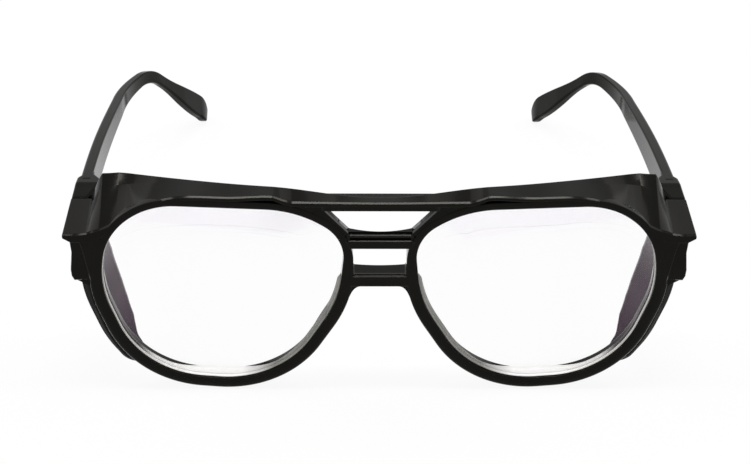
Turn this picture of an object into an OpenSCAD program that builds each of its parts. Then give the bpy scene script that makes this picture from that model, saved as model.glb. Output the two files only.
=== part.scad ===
// Laser safety spectacles with a brow guard, side shields and folding arms.
// The front faces -Y and stands on Z = 0. Left and right are the wearer's, so left is +X.

/* [Lenses] */
// Width of a lens opening
lens_w = 57.5; // [52:0.5:60]
// Height of a lens opening
lens_h = 50; // [46:0.5:52]
// Gap between the two lens openings at the nose
nose_gap = 17.4; // [16:0.2:22]
// Thickness of a lens
lens_t = 2.2; // [1.6:0.1:2.6]
// Depth of the groove that holds a lens edge
groove_depth = 0.9; // [0.6:0.1:1.2]
// Clearance between a lens and its groove
lens_fit = 0.05; // [0.02:0.01:0.1]

/* [Front] */
// Depth of the rims from front to back
front_depth = 5.2; // [4.8:0.1:6.5]
// Width of a rim around its lens
rim_w = 3; // [2.6:0.1:3.6]
// Depth of the lip in front of a lens
front_lip = 1.3; // [1:0.1:1.6]
// Height of each bridge bar's face
bar_h = 2; // [1.6:0.1:2.6]
// Height of the lower bridge bar
lower_bar_h = 2.9; // [2.4:0.1:3.4]
// Height of the lower window in the bridge
low_window_h = 7.9; // [6:0.1:9]
// Height of the upper window in the bridge
top_window_h = 6.5; // [5.5:0.1:8]
// Width of the lower window
low_window_w = 13.8; // [11:0.2:14]
// Width of the upper window along its top edge
top_window_w = 24; // [20:0.5:26]
// Radius of the scoop behind the bridge
scoop_r = 13; // [12:0.5:16]

/* [Brow guard] */
// Depth of the guard at the middle
guard_depth_mid = 3.6; // [3.4:0.1:5]
// Depth of the guard at its outer corners
guard_depth_side = 11.2; // [8:0.2:14]
// Thickness of the guard
guard_t = 2; // [1.6:0.1:2.6]

/* [End pieces] */
// Distance that the shelf reaches beyond a lens opening
end_w = 8.7; // [8:0.1:10]
// Height of the shelf's front edge above the table
shelf_h = 45.3; // [44:0.1:47]
// Thickness of the shelf
shelf_t = 2.1; // [1.6:0.1:2.6]
// Height of an end piece below the shelf's front edge
end_drop = 12.9; // [12:0.1:14]
// Distance that an end piece reaches back to the arm
seam_y = 11.6; // [10:0.1:14]
// Rise of the shelf from its front edge to the hinge block
block_rise = 3.3; // [2.2:0.1:4.4]
// Height of the hinge block
block_h = 9; // [8:0.1:10]

/* [Hinges] */
// Diameter of a hinge knuckle
knuckle_d = 3; // [2.6:0.1:3.4]
// Diameter of a hinge screw
pin_d = 1.2; // [1:0.1:1.4]
// Running clearance around a hinge screw
pin_fit = 0.05; // [0.02:0.01:0.1]
// Height of one knuckle
knuckle_h = 1.4; // [1.2:0.05:1.5]
// Thickness of a hinge leaf
leaf_t = 1; // [0.8:0.1:1.2]
// Diameter of a rivet
rivet_d = 1.2; // [0.8:0.1:1.4]

/* [Arms] */
// Distance from the front to the start of the ear bend
arm_reach = 105.5; // [94:0.5:112]
// Slope of an arm below level, in degrees
arm_slope = 9.5; // [8:0.5:11]
// Slope of an ear end below level, in degrees
ear_slope = 43; // [38:1:48]
// Radius of the ear bend
ear_bend_r = 20; // [16:1:28]
// Thickness of an arm
arm_t = 2.8; // [2.6:0.1:3.4]
// Height of an arm at the hinge
arm_h = 8.4; // [7.6:0.1:9]
// Height of an arm before the ear bend
arm_end_h = 5.2; // [4.6:0.1:6]
// Height of the ear end at its widest
ear_h = 6.8; // [5.5:0.1:7.5]
// Distance that the arms bow out
arm_bow = 0.7; // [0:0.1:1.2]
// Distance from the front to where an arm starts to turn in
toe_start = 83; // [78:1:90]
// Angle that an ear end turns in, in degrees
toe_angle = 24.5; // [16:0.5:28]
// Angle that the tip of an ear end turns down further, in degrees
tip_turn = 38; // [26:1:42]
// Radius of the turn before the tip
tip_r = 11.5; // [9:0.5:15]
// Diameter of the wire core
core_d = 1; // [0.8:0.1:1.2]

/* [Side shields] */
// Thickness of a side shield
shield_t = 1.4; // [1.2:0.1:1.8]
// Reach of a side shield behind the front
shield_reach = 25; // [20:0.5:27]
// Angle that a side shield turns in, in degrees
shield_turn = 5; // [3:0.5:6]
// Width of the flange outside the rim
flange_w = 3.5; // [2.6:0.1:3.8]

/* [Hidden] */

black = "#1b1b1a";
metal = "#b9b7ae";
touch = 0.02;

// Middle and outer side of the left lens opening, and what hangs on them
lens_x = nose_gap / 2 + lens_w / 2;
lens_z = rim_w + lens_h / 2;
lens_out = nose_gap / 2 + lens_w;
shelf_half_w = lens_out + end_w;
block_top = shelf_h + block_rise;
end_h = shelf_h - end_drop;

// The front's face lies at front_y, so that the origin is the middle of the whole length
function arc_run(r, a, b) = r * (sin(b) - sin(a));
function arc_drop(r, a, b) = r * (cos(a) - cos(b));
arm_start_y = seam_y + 7.4;
arm_end_top = block_top - (arm_reach - arm_start_y) * tan(arm_slope);
arm_end_z = arm_end_top - arm_end_h / 2;
ear_start_y = arm_reach + arc_run(ear_bend_r, arm_slope, ear_slope);
ear_start_z = arm_end_z - arc_drop(ear_bend_r, arm_slope, ear_slope);
tip_z = 0.15;
tip_slope = ear_slope + tip_turn;
ear_len = (ear_start_z - tip_z - arc_drop(tip_r, ear_slope, tip_slope)) / sin(ear_slope);
ear_end_y = ear_start_y + ear_len * cos(ear_slope);
ear_end_z = ear_start_z - ear_len * sin(ear_slope);
tip_y = ear_end_y + arc_run(tip_r, ear_slope, tip_slope);
tip_edge = 0.1;
front_y = -(tip_y + tip_edge) / 2;

// Lens outline about its own centre for the left eye: x, z and corner radius
wide = lens_w / 57.5;
tall = lens_h / 50;
tight = min(wide, tall);
lens_corners = [
    [-17.4 * wide, 24 * tall, 26 * tight],
    [25.8 * wide, 25.8 * tall, 17.5 * tight],
    [29.6 * wide, 2.7 * tall, 28.5 * tight],
    [21 * wide, -23 * tall, 23 * tight],
    [-13 * wide, -26 * tall, 24 * tight],
    [-27.5 * wide, -1.7 * tall, 33 * tight],
    [-29.3 * wide, 16.2 * tall, 10.5 * tight],
];
arc_steps = 10;

// Levels of the bridge, from the bottom bar up; the middle bar carries a ridge above its face
ridge_h = 1.8;
arch_z = 31.1 + (lens_z - 28);
low_bar_top = arch_z + lower_bar_h;
mid_bar_z = low_bar_top + low_window_h;
mid_bar_top = mid_bar_z + bar_h + ridge_h;
top_bar_z = mid_bar_top + top_window_h;
top_bar_top = top_bar_z + bar_h;
brow_lip = 2.4;
relief_x = 20.7;

// Hinge axis and leaves, for the left side
hinge_x = shelf_half_w - 7.3;
hinge_y = seam_y + 2;
knuckles = 5;
knuckle_gap = 0.1;
hinge_z = block_top - block_h / 2 - knuckles * knuckle_h / 2;
leaf_reach = 8.2;
leaf_fit = 0.05;
front_leaf_x = hinge_x - leaf_t / 2;
arm_leaf_x = hinge_x + leaf_t * 0.45;
rivet_head_d = 2.2 * rivet_d;
rivet_head_t = 0.4;
wall_x = shelf_half_w - 1;
body_x = shelf_half_w - 2.2;
recess = 0.8;
shield_screw_d = 2;
shield_screw_z = end_h + 4.2;
shield_screw_y = 7.4;
screw_head_d = 3.2;
screw_seat_x = body_x + 0.6;
shield_fit = 0.1;
shield_top = shield_screw_z + 2;
shield_y = front_depth + touch;

// Unit direction from one point to another
function toward(a, b) = (b - a) / norm(b - a);
// Where the lines through a and b, along u and v, meet
function meet(a, u, b, v) = a + u * ((b - a).x * v.y - (b - a).y * v.x) / (u.x * v.y - u.y * v.x);
function outward(d) = [-d.y, d.x];
function spot(c) = [c[0], c[1]];
// Moves every side of a clockwise outline out by d, and its radii with it
function grow(corners, d) = [
    for (i = [0:len(corners) - 1])
        let (
            n = len(corners),
            p = spot(corners[(i + n - 1) % n]),
            q = spot(corners[i]),
            r = spot(corners[(i + 1) % n]),
            u = toward(p, q),
            v = toward(q, r),
            m = meet(q + outward(u) * d, u, q + outward(v) * d, v)
        )
        [m.x, m.y, corners[i][2] + d]
];
// Points of one corner's arc
function corner_arc(p, c, r) =
    let (
        q = spot(c),
        u = toward(q, p),
        v = toward(q, r),
        half = acos(u * v) / 2,
        centre = q + toward([0, 0], u + v) * c[2] / sin(half),
        from = q + u * c[2] / tan(half) - centre,
        start = atan2(from.y, from.x),
        turn = 180 - 2 * half
    )
    [for (k = [0:arc_steps]) centre + c[2] * [cos(start - turn * k / arc_steps), sin(start - turn * k / arc_steps)]];
function rounded(corners) = [
    for (i = [0:len(corners) - 1])
        let (n = len(corners))
        each corner_arc(spot(corners[(i + n - 1) % n]), corners[i], spot(corners[(i + 1) % n]))
];
function lens_outline(d) = [for (p = rounded(grow(lens_corners, d))) p + [lens_x, lens_z]];

// Smooth step from 0 at a to 1 at b
function ease(a, b, x) = let (t = min(1, max(0, (x - a) / (b - a)))) t * t * (3 - 2 * t);

// Upper edge of the face, from the top bar over the lens and down to the shelf
rim_top = [for (p = lens_outline(brow_lip)) if (p.y > lens_z) p];
shelf_start = lens_out - 2.2;
shelf_flat = lens_out + 3.8;
function face_top(x) = let (
        rim = lookup(x, rim_top),
        bar = top_bar_top + (rim - top_bar_top) * ease(relief_x, relief_x + 5, x),
        drop = lookup(shelf_start, rim_top)
    )
    x < shelf_start ? bar : shelf_h + (drop - shelf_h) * pow(1 - min(1, (x - shelf_start) / (shelf_flat - shelf_start)), 2);

// Places a front drawing, with x across and z up, and gives it a depth going back
module slab(y, depth) {
    translate([0, y + depth, 0]) rotate([90, 0, 0]) linear_extrude(depth) children();
}

module both_sides() {
    children();
    mirror([1, 0, 0]) children();
}

module at_front() {
    translate([0, front_y, 0]) children();
}

// Outline of the whole front face
module face_outline() {
    both_sides() {
        polygon(lens_outline(rim_w));
        polygon([
            for (x = [0:2.5:relief_x]) [x, top_bar_top],
            for (x = [relief_x:1:shelf_half_w - 1.4]) [x, face_top(x)],
            [shelf_half_w, shelf_h],
            [shelf_half_w, shelf_h - 0.9],
            [body_x + 0.3, shelf_h - shelf_t],
            [body_x, end_h + 8],
            [wall_x - 0.4, end_h + 2.4],
            [wall_x - 0.5, end_h + 0.6],
            [wall_x - 1.3, end_h - 0.5],
            [body_x - 2, end_h - 2.1],
            [body_x - 3.7, end_h - 4.4],
            [lens_x, lens_z + 6],
            [0, lens_z + 14],
        ]);
    }
    translate([0, arch_z + 10]) square([2 * lens_x, 20], center = true);
}

module arch_outline() {
    both_sides() polygon([
        [0, arch_z],
        [4.5, arch_z],
        [5.6, arch_z - 0.5],
        [6.5, arch_z - 1.6],
        [lens_x - 5, arch_z - 20],
        [lens_x, -10],
        [0, -10],
    ]);
}

module windows_outline() {
    both_sides() {
        polygon([
            [0, low_bar_top],
            [low_window_w / 2 - 1.2, low_bar_top],
            [low_window_w / 2 - 0.4, low_bar_top + 0.8],
            [low_window_w / 2, mid_bar_z],
            [0, mid_bar_z],
        ]);
        polygon([
            [0, mid_bar_top],
            [low_window_w / 2 + 0.7, mid_bar_top],
            [top_window_w / 2 + 1.6, top_bar_z],
            [0, top_bar_z],
        ]);
    }
}

// The arch under the bridge follows the rims, so only what lies outside both rims is cut away
module nose_arch() {
    difference() {
        arch_outline();
        both_sides() polygon(lens_outline(rim_w));
    }
}

// Rounds the corner between the lower bar and a rim
module arch_corner() {
    polygon([
        [3.4, arch_z + 1],
        [3.4, arch_z],
        [4.6, arch_z - 0.25],
        [5.6, arch_z - 0.9],
        [6.3, arch_z - 2],
        [nose_gap / 2 - 0.6, arch_z - 2],
        [nose_gap / 2 - 0.6, arch_z + 1],
    ]);
}

bar_back = 1.1;
module front_plate() {
    slab(0, front_depth) {
        difference() {
            face_outline();
            nose_arch();
            windows_outline();
        }
        both_sides() arch_corner();
    }
    slab(front_depth - touch, bar_back) translate([-nose_gap / 2 + 0.6, arch_z])
        square([nose_gap - 1.2, lower_bar_h]);
}

// Roof over the eyes: front edge on the face, back edge curved round the brow
guard_corner_x = lens_out - 4.2;
guard_end_x = lens_out + 1.1;
guard_x = [
    for (x = [0:2:relief_x - 1]) x,
    for (x = [relief_x:1.1:guard_corner_x]) x,
    for (k = [1:5]) guard_corner_x + (guard_end_x - guard_corner_x) * k / 5,
];
guard_back_z = lens_z + lens_h / 2 + 2.9;
function guard_back(x) =
    let (
        y = guard_depth_mid + (guard_depth_side - guard_depth_mid) * pow(min(x, guard_corner_x) / guard_corner_x, 1.8),
        z = top_bar_top + (guard_back_z - top_bar_top) * ease(2, relief_x + 5, x) - 0.7 * ease(guard_corner_x - 17, guard_corner_x, x),
        over = max(0, x - guard_corner_x) / (guard_end_x - guard_corner_x)
    )
    [y + 1.6 * over - 3 * over * over, z - 6.2 * pow(over, 1.6)];
module brow_guard() {
    sections = [
        for (x = guard_x)
            let (b = guard_back(x), f = face_top(x))
            [[x, 0.3, f - touch], [x, b[0], b[1]], [x, b[0], b[1] - guard_t], [x, 1.5, f - guard_t]]
    ];
    both_sides() loft(sections);
}

// Closed solid through a list of rings, each with the same number of points
module loft(rings) {
    n = len(rings[0]);
    m = len(rings);
    points = [for (r = rings) each r];
    sides = [
        for (i = [0:m - 2], k = [0:n - 1])
            let (a = i * n + k, b = i * n + (k + 1) % n)
            each [[a, b, b + n], [a, b + n, a + n]]
    ];
    ends = [
        for (k = [1:n - 2]) [0, k + 1, k],
        for (k = [1:n - 2]) [(m - 1) * n, (m - 1) * n + k, (m - 1) * n + k + 1],
    ];
    polyhedron(points, concat(sides, ends));
}

// Plan of an end piece from the rim back to the seam with the arm
module end_plan(outer) {
    polygon([
        [shelf_start, touch],
        [outer, touch],
        [wall_x, seam_y],
        [hinge_x + 2.6, seam_y],
        [hinge_x - 0.3, seam_y - 2.9],
        [shelf_start + 1, seam_y - 2.9],
    ]);
}

module end_piece() {
    // Shelf, cut by its sloping top
    intersection() {
        translate([0, 0, shelf_h - shelf_t]) linear_extrude(8) end_plan(shelf_half_w);
        translate([shelf_half_w + 5, 0, 0]) rotate([0, -90, 0]) linear_extrude(20) polygon([
            [shelf_h - shelf_t, 0],
            [shelf_h, 0],
            [block_top, seam_y],
            [shelf_h - shelf_t, seam_y],
        ]);
    }
    // Body under the shelf, narrowing down to the height of the arm
    intersection() {
        translate([0, 0, end_h - 6]) linear_extrude(shelf_h - end_h + 5) end_plan(body_x);
        translate([shelf_half_w + 5, 0, 0]) rotate([0, -90, 0]) linear_extrude(20) polygon([
            [end_h, touch],
            [shelf_h - touch, touch],
            [shelf_h - touch, seam_y],
            [block_top - block_h, seam_y],
            [end_h, 5],
        ]);
    }
}

// Moulded pads on the nose side of the rims
module nose_pads() {
    both_sides() intersection() {
        slab(front_depth - 0.6, 4.2) difference() {
            polygon(lens_outline(rim_w - 0.4));
            polygon(lens_outline(0.6));
        }
        translate([nose_gap / 2 + 3.6, front_depth, arch_z - 9]) rotate([8, 0, 24]) cube([10, 9, 15], center = true);
    }
}

module lens_seats() {
    both_sides() {
        slab(-1, front_depth + 8) polygon(lens_outline(0));
        slab(front_lip, lens_t + 2 * lens_fit) polygon(lens_outline(groove_depth));
    }
}

// Groove between the face of the middle bar and its ridge, which lies a little further back
module bar_grooves() {
    translate([0, 0.1, mid_bar_top - ridge_h + 0.5])
        rotate([45, 0, 0]) cube([low_window_w + 1, 0.7, 0.7], center = true);
    translate([0, -0.15, mid_bar_top - ridge_h / 2 + 0.55]) cube([low_window_w + 1.6, 0.7, ridge_h], center = true);
}

// The scoop leans with the nose, and reaches just above the middle bar
scoop_lean = 15;
scoop_rise = (mid_bar_top - mid_bar_z + 0.5 + scoop_r * sin(scoop_lean)) / cos(scoop_lean);
module nose_scoop() {
    translate([0, guard_depth_mid + scoop_r - 0.9, mid_bar_z]) rotate([scoop_lean, 0, 0])
        translate([0, 0, -14]) cylinder(r = scoop_r, h = 14 + scoop_rise, $fn = 96);
}

module end_recess() {
    both_sides() slab(-1, 1 + recess) polygon([
        [body_x - 2.6, shelf_h - shelf_t],
        [body_x + 3, shelf_h - shelf_t],
        [body_x + 3, end_h + 0.6],
        [body_x - 3.7, end_h + 0.4],
    ]);
}

// Space for a hinge leaf and its rivets in the left end piece
module hinge_pocket() {
    translate([front_leaf_x - leaf_fit, hinge_y - leaf_reach - leaf_fit, hinge_z - leaf_fit])
        cube([leaf_t + 2 * leaf_fit, leaf_reach, knuckles * knuckle_h + 2 * leaf_fit]);
    translate([hinge_x, hinge_y, hinge_z - 0.3])
        cylinder(d = knuckle_d + 0.6, h = knuckles * knuckle_h + 12, $fn = 48);
    front_rivets(0.03);
}

module frame_front() {
    at_front() color(black) difference() {
        union() {
            difference() {
                union() {
                    front_plate();
                    nose_pads();
                }
                nose_scoop();
                bar_grooves();
            }
            brow_guard();
            both_sides() end_piece();
        }
        lens_seats();
        end_recess();
        both_sides() {
            hinge_pocket();
            shield_space(shield_fit);
            shield_screw_hole(shield_screw_d + 0.1);
            translate([screw_seat_x, shield_screw_y, shield_screw_z]) rotate([0, 90, 0])
                cylinder(d = screw_head_d + 0.2, h = 5, $fn = 32);
        }
    }
}

module shield_screw_hole(d) {
    translate([body_x - 8, shield_screw_y, shield_screw_z]) rotate([0, 90, 0])
        cylinder(d = d, h = 14, $fn = 32);
}

module lens() {
    at_front() color("#dfe6e2", 0.35)
        slab(front_lip + lens_fit, lens_t) polygon(lens_outline(groove_depth - lens_fit));
}

// Side shield: a flange behind the rim, and a wall that reaches back and up inside the end piece
flange_shift = [-0.6, -0.9];
wall_out = rim_w + flange_w - 0.6;
module shield_sector(top, low) {
    reach = lens_w + 2.5;
    translate([lens_x, lens_z]) polygon([
        [2, 0],
        [reach, top],
        [reach, -reach],
        [low, -reach],
    ]);
}

// Turns a front drawing in with the wall and extrudes it back
module turned_in(reach) {
    translate([lens_x + lens_w / 2, shield_y, 0]) rotate([0, 0, shield_turn])
        translate([-lens_x - lens_w / 2, -shield_y, 0]) slab(shield_y - 1, reach + 1) children();
}

// Space inside the end piece that the wall of the shield fills
module shield_space(fit) {
    intersection() {
        turned_in(shield_reach) translate(flange_shift) polygon(lens_outline(wall_out + fit));
        translate([lens_x + 12, shield_y - touch, 0]) cube([40, shield_reach, shield_top + fit]);
    }
}

module side_shield() {
    flange_t = 1.4;
    back_y = shield_y + shield_reach;
    at_front() color(black) difference() {
        union() {
            slab(shield_y, flange_t) {
                intersection() {
                    difference() {
                        translate(flange_shift) polygon(lens_outline(rim_w + flange_w));
                        polygon(lens_outline(rim_w - 1.4));
                    }
                    shield_sector(9.6, 50);
                }
                polygon([
                    [body_x - 5, end_h - 6.4],
                    [body_x - 1.6, end_h - 5.2],
                    [wall_x + 0.2, end_h - 2.6],
                    [wall_x + 0.2, end_h - 1],
                    [body_x - 5, end_h - 1],
                ]);
            }
            intersection() {
                turned_in(shield_reach) intersection() {
                    translate(flange_shift) difference() {
                        polygon(lens_outline(wall_out));
                        polygon(lens_outline(wall_out - shield_t));
                    }
                    shield_sector(shield_top - lens_z + 13.4, 33.6);
                }
                translate([shelf_half_w + 5, 0, 0]) rotate([0, -90, 0]) linear_extrude(30) polygon([
                    [0, shield_y],
                    [2, shield_y + 2],
                    [shield_top - 24.6, back_y - 14],
                    [shield_top - 12.6, back_y - 5],
                    [shield_top - 9.6, back_y - 4],
                    [shield_top - 2.6, back_y - 4],
                    [shield_top - 1.2, back_y - 4.6],
                    [shield_top, back_y - 6],
                    [shield_top, shield_y],
                ]);
            }
        }
        difference() {
            end_clearance();
            shield_space(0);
        }
        shield_screw_hole(shield_screw_d);
    }
}

// Keeps a side shield clear of the end piece, which slopes up towards the arm
module end_clearance() {
    translate([shelf_half_w + 5, 0, 0]) rotate([0, -90, 0]) linear_extrude(shelf_half_w + 5 - shelf_start) polygon([
        [end_h - shield_fit, 0],
        [block_top, 0],
        [block_top, seam_y + shield_fit],
        [block_top - block_h - shield_fit, seam_y + shield_fit],
        [end_h - shield_fit, 5 + shield_fit],
    ]);
}

module shield_screw() {
    at_front() color(metal) translate([body_x, shield_screw_y, shield_screw_z]) rotate([0, 90, 0]) {
        translate([0, 0, -3.4]) cylinder(d = shield_screw_d, h = 4.2, $fn = 32);
        translate([0, 0, screw_seat_x - body_x]) cylinder(d = screw_head_d, h = 0.7, $fn = 32);
    }
}

// One knuckle of a hinge, counted from the bottom
module knuckle(k, bore) {
    translate([hinge_x, hinge_y, hinge_z + k * knuckle_h + knuckle_gap / 2]) difference() {
        cylinder(d = knuckle_d, h = knuckle_h - knuckle_gap, $fn = 40);
        translate([0, 0, -1]) cylinder(d = bore, h = knuckle_h + 2, $fn = 32);
    }
}

module knuckle_space(k, bore) {
    translate([hinge_x, hinge_y, hinge_z + k * knuckle_h - knuckle_gap / 2])
        cylinder(d = bore, h = knuckle_h + knuckle_gap, $fn = 40);
}

module front_hinge() {
    at_front() color(metal) difference() {
        union() {
            for (k = [0:2:knuckles - 1]) knuckle(k, pin_d);
            difference() {
                translate([front_leaf_x, hinge_y - leaf_reach, hinge_z + knuckle_gap / 2])
                    cube([leaf_t, leaf_reach, knuckles * knuckle_h - knuckle_gap]);
                for (k = [1:2:knuckles - 2]) knuckle_space(k, knuckle_d + 0.3);
                for (k = [0:2:knuckles - 1]) knuckle_space(k, knuckle_d - 0.4);
            }
        }
        front_rivets(0);
    }
}

module temple_hinge() {
    at_front() color(metal) difference() {
        union() {
            for (k = [1:2:knuckles - 2]) knuckle(k, pin_d + 2 * pin_fit);
            difference() {
                translate([arm_leaf_x, hinge_y, hinge_z + knuckle_gap / 2])
                    cube([leaf_t, leaf_reach, knuckles * knuckle_h - knuckle_gap]);
                for (k = [0:2:knuckles - 1]) knuckle_space(k, knuckle_d + 0.3);
                for (k = [1:2:knuckles - 2]) knuckle_space(k, knuckle_d - 0.4);
            }
        }
        temple_rivets(0);
    }
}

module hinge_screw() {
    at_front() color(metal) translate([hinge_x, hinge_y, hinge_z]) {
        cylinder(d = pin_d, h = knuckles * knuckle_h, $fn = 32);
        translate([0, 0, knuckles * knuckle_h]) difference() {
            cylinder(d = knuckle_d - 0.6, h = 0.6, $fn = 32);
            translate([0, 0, 0.6]) cube([knuckle_d, 0.4, 0.6], center = true);
        }
    }
}

// Two rivets through a leaf, one above the other, heads let into the outer side
rivet_rise = 1.9;
module rivet_pair(head_x, tail_x, y, fit) {
    for (rise = [-rivet_rise, rivet_rise])
        translate([tail_x, y, hinge_z + knuckles * knuckle_h / 2 + rise]) rotate([0, 90, 0]) {
            cylinder(d = rivet_d + 2 * fit, h = head_x - tail_x - fit, $fn = 24);
            translate([0, 0, head_x - tail_x - rivet_head_t])
                cylinder(d = rivet_head_d + 2 * fit, h = rivet_head_t + 20 * fit, $fn = 32);
        }
}

module front_rivets(fit) {
    rivet_pair(wall_x - 0.7, front_leaf_x, hinge_y - leaf_reach + 2.4, fit);
}

module temple_rivets(fit) {
    rivet_pair(wall_x, arm_leaf_x, hinge_y + leaf_reach - 2.6, fit);
}

// Centre of an arm in plan: a slight bow, then a turn in towards the head
block_in_x = hinge_x - 0.3;
arm_x = wall_x - 0.9 - arm_t / 2;
toe_k = tan(toe_angle) / (2 * (ear_start_y - toe_start));
function arm_plan(y) =
    arm_x + arm_bow * sin(180 * min(1, max(0, (y - arm_start_y) / (toe_start - arm_start_y))))
    - (y < toe_start ? 0 : y < ear_start_y ? toe_k * pow(y - toe_start, 2)
        : toe_k * pow(ear_start_y - toe_start, 2) + tan(toe_angle) * (y - ear_start_y));

// Stations along an arm: y, z, slope and height
straight_steps = 14;
bend_steps = 7;
ear_steps = 8;
tip_steps = 10;
function straight_station(t) =
    let (
        y = arm_start_y + (arm_reach - arm_start_y) * t,
        h = arm_h + (arm_end_h - arm_h) * t
    )
    [y, block_top - (y - arm_start_y) * tan(arm_slope) - h / 2, arm_slope, h];
function bend_station(t) =
    let (a = arm_slope + (ear_slope - arm_slope) * t)
    [
        arm_reach + arc_run(ear_bend_r, arm_slope, a),
        arm_end_z - arc_drop(ear_bend_r, arm_slope, a),
        a,
        arm_end_h - 0.2 * sin(180 * t),
    ];
function ear_station(t) = [
    ear_start_y + t * ear_len * cos(ear_slope),
    ear_start_z - t * ear_len * sin(ear_slope),
    ear_slope,
    arm_end_h + (ear_h - arm_end_h) * ease(0, 0.9, t),
];
// The last turn, closed by a rounded end
function tip_station(t) =
    let (
        u = 1 - pow(1 - t, 1.8),
        a = ear_slope + tip_turn * u,
        w = sqrt(max(0, 1 - pow(max(0, (u - 0.1) / 0.9), 2.4)))
    )
    [
        ear_end_y + arc_run(tip_r, ear_slope, a),
        ear_end_z - arc_drop(tip_r, ear_slope, a),
        a,
        max(2 * tip_edge, ear_h * w),
    ];
stations = concat(
    [for (i = [0:straight_steps - 1]) straight_station(i / straight_steps)],
    [for (i = [0:bend_steps - 1]) bend_station(i / bend_steps)],
    [for (i = [0:ear_steps - 1]) ear_station(i / ear_steps)],
    [for (i = [0:tip_steps]) tip_station(i / tip_steps)]
);
ring_points = 16;
function power(v, e) = sign(v) * pow(abs(v), e);
// Ring of a rounded bar, square to its slope, with z up and x across
function bar_ring(s, w, h) = [
    for (k = [0:ring_points - 1])
        let (
            a = 360 * (k + 0.5) / ring_points,
            u = power(cos(a), 0.5) * w / 2,
            v = power(sin(a), 0.5) * h / 2
        )
        [arm_plan(s[0]) + u, s[0] + v * sin(s[2]), s[1] + v * cos(s[2])]
];
function arm_width(s) = arm_t * min(1, 0.4 + 0.6 * s[3] / arm_end_h);

block_back_y = seam_y + 14;
module arm_block() {
    translate([0, 0, block_top - block_h]) linear_extrude(block_h) polygon([
        [wall_x, seam_y + 0.08],
        [wall_x, seam_y + 9.6],
        [wall_x - 0.9, seam_y + 11.8],
        [wall_x - 0.9, block_back_y],
        [arm_x - arm_t / 2, block_back_y],
        [arm_x - arm_t / 2 - 0.4, seam_y + 12.4],
        [block_in_x, seam_y + 7.6],
        [hinge_x + 2.6, seam_y + 0.08],
    ]);
}

// Slope that trims the top and bottom of the block to the run of the arm
module arm_slope_trim() {
    fall = (block_back_y + 1 - arm_start_y) * tan(arm_slope);
    translate([shelf_half_w + 5, 0, 0]) rotate([0, -90, 0]) linear_extrude(20) polygon([
        [block_top, seam_y],
        [block_top, arm_start_y],
        [block_top - fall, block_back_y + 1],
        [block_top - fall - arm_h, block_back_y + 1],
        [block_top - block_h, seam_y + 4],
        [block_top - block_h, seam_y],
    ]);
}

module temple() {
    at_front() color(black) difference() {
        union() {
            intersection() {
                arm_block();
                arm_slope_trim();
            }
            loft([for (s = stations) bar_ring(s, arm_width(s), s[3])]);
        }
        // Slot for the leaf, space round the knuckles, rivet holes and the channel of the core
        translate([arm_leaf_x - leaf_fit, hinge_y, hinge_z - leaf_fit])
            cube([leaf_t + 2 * leaf_fit, leaf_reach + leaf_fit, knuckles * knuckle_h + 2 * leaf_fit]);
        translate([hinge_x, hinge_y, 0]) cylinder(d = knuckle_d + 0.5, h = block_top + 5, $fn = 48);
        temple_rivets(0.03);
        core_sweep(core_d + 2 * core_fit);
    }
}

// Wire core along the middle of the arm, from the leaf to the ear bend
core_stations = [for (i = [2:straight_steps - 1]) straight_station(i / straight_steps), bend_station(0)];
core_fit = 0.03;
module core_sweep(d) {
    loft([
        for (s = core_stations) [
            for (k = [0:7])
                [arm_plan(s[0]) + d / 2 * cos(45 * k), s[0] + d / 2 * sin(45 * k) * sin(s[2]),
                    s[1] + d / 2 * sin(45 * k) * cos(s[2])]
        ]
    ]);
}

module temple_core() {
    at_front() color(metal) core_sweep(core_d);
}

module side(left) {
    mirror([left ? 0 : 1, 0, 0]) children();
}

frame_front();
side(true) lens();  // lens_left
side(false) lens();  // lens_right
side(true) side_shield();  // side_shield_left
side(false) side_shield();  // side_shield_right
side(true) shield_screw();  // side_shield_screw_left
side(false) shield_screw();  // side_shield_screw_right
side(true) front_hinge();  // front_hinge_left
side(false) front_hinge();  // front_hinge_right
side(true) at_front() color(metal) front_rivets(0);  // front_hinge_rivets_left
side(false) at_front() color(metal) front_rivets(0);  // front_hinge_rivets_right
side(true) hinge_screw();  // hinge_screw_left
side(false) hinge_screw();  // hinge_screw_right
side(true) temple();  // temple_left
side(false) temple();  // temple_right
side(true) temple_hinge();  // temple_hinge_left
side(false) temple_hinge();  // temple_hinge_right
side(true) at_front() color(metal) temple_rivets(0);  // temple_hinge_rivets_left
side(false) at_front() color(metal) temple_rivets(0);  // temple_hinge_rivets_right
side(true) temple_core();  // temple_core_left
side(false) temple_core();  // temple_core_right
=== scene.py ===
import bpy
import numpy as np
from mathutils import Matrix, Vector
from mathutils.geometry import tessellate_polygon


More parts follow.
